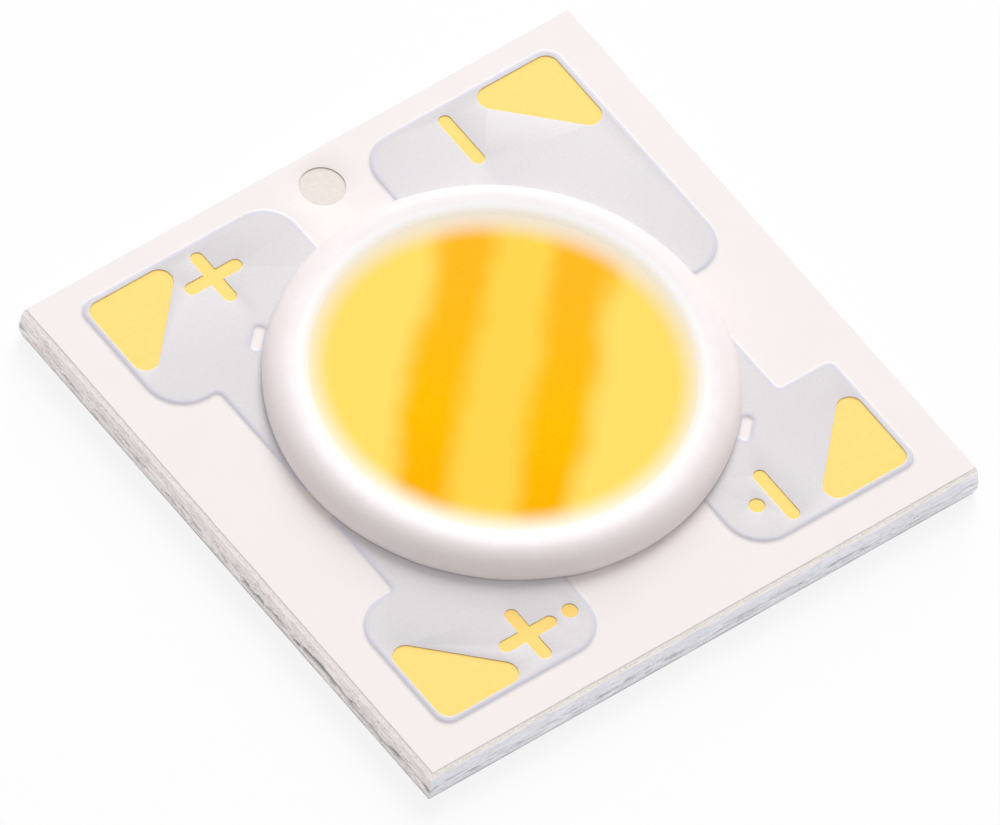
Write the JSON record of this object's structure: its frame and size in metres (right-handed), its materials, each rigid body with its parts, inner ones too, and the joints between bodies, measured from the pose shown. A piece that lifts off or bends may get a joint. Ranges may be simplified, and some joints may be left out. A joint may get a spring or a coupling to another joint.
{
  "type": "cob led",
  "caption": "Square metal-core chip-on-board light source with a round white dam around striped cool and warm phosphor, and gold corner pads for two channels.",
  "frame": {"origin": "middle of the board's bottom face", "axes": "+Z out of the light-emitting surface, +X from the plus pads to the minus pads, +Y from channel 2's pads to channel 1's"},
  "size_m": [0.0158, 0.0158, 0.0017],
  "materials": {
    "aluminium": "broken score edges, fine rolled faces",
    "dielectric": "matt filled resin",
    "mask": "satin white solder mask, greyer over the copper",
    "copper": "etched copper",
    "gold_plating": "flat immersion gold",
    "dam": "smooth white silicone",
    "phosphor_cool": "soft lemon-yellow filled silicone",
    "phosphor_warm": "soft orange filled silicone",
    "die": "polished sapphire chip",
    "die_attach": "clear to white adhesive",
    "bond_wire": "bright drawn gold wire"
  },
  "bodies": {
    "root": {"aluminium_base": "aluminium", "dielectric_layer": "dielectric", "solder_mask": "mask", "dam_ring": "dam", "trace_1_plus": "copper", "trace_1_minus": "copper", "trace_2_plus": "copper", "trace_2_minus": "copper", "pad_1_plus": "gold_plating", "pad_1_minus": "gold_plating", "pad_2_plus": "gold_plating", "pad_2_minus": "gold_plating", "mark_1_plus": "gold_plating", "mark_1_minus": "gold_plating", "mark_2_plus": "gold_plating", "mark_2_minus": "gold_plating", "die_row_1": "die", "die_row_2": "die", "die_row_3": "die", "die_row_4": "die", "die_row_5": "die", "die_attach_row_1": "die_attach", "die_attach_row_2": "die_attach", "die_attach_row_3": "die_attach", "die_attach_row_4": "die_attach", "die_attach_row_5": "die_attach", "bond_wires_row_1": "bond_wire", "bond_wires_row_2": "bond_wire", "bond_wires_row_3": "bond_wire", "bond_wires_row_4": "bond_wire", "bond_wires_row_5": "bond_wire", "phosphor_cool_1": "phosphor_cool", "phosphor_warm_2": "phosphor_warm", "phosphor_cool_3": "phosphor_cool", "phosphor_warm_4": "phosphor_warm", "phosphor_cool_5": "phosphor_cool"}
  },
  "joints": []
}
